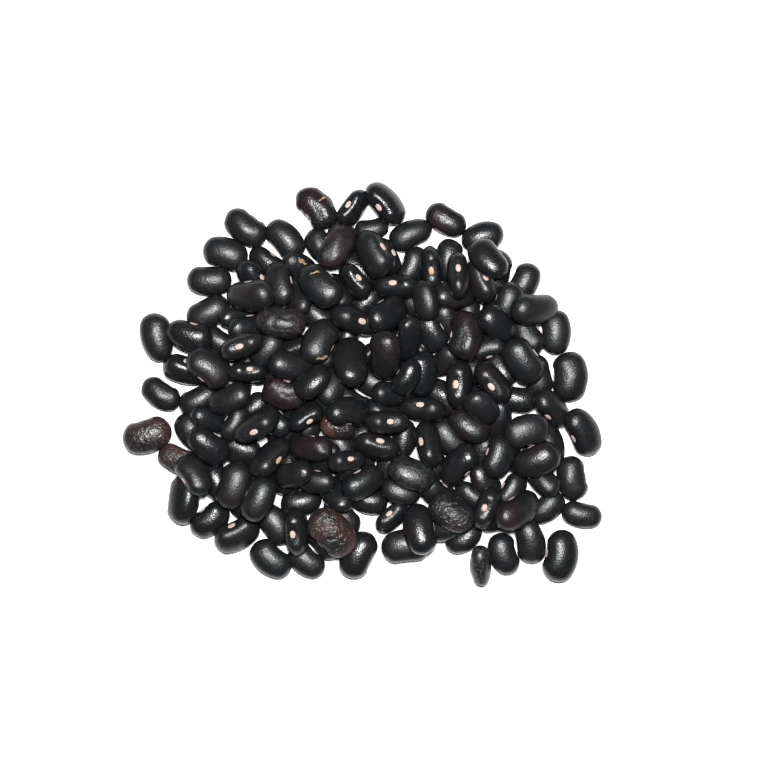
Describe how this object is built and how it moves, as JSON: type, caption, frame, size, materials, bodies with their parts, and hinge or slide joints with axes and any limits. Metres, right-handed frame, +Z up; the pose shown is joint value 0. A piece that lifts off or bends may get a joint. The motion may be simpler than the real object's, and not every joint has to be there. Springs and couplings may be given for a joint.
{
  "type": "heap of dried black beans",
  "caption": "Loose low heap of dried black beans, a few of them brown and wrinkled, lying on a bare flat surface, with pale seed scars on many of them.",
  "frame": {"origin": "on the ground, under the middle of the heap's outline", "axes": "+Z up from the ground the beans lie on, +X along the heap's longest side, +Y to the top of the view from above"},
  "size_m": [0.1152, 0.0972, 0.0145],
  "materials": {
    "bean_skin_black": "smooth satin black seed coat with a cool tint and a soft broad shine",
    "bean_skin_purple": "satin purple-black seed coat, slightly dented or creased",
    "bean_skin_brown": "duller red-brown wrinkled seed coat",
    "bean_eye": "dry matt cream seed scar with a dark raised lip"
  },
  "bodies": {
    "root": {"bean_heap": "bean_skin_black"}
  },
  "joints": []
}
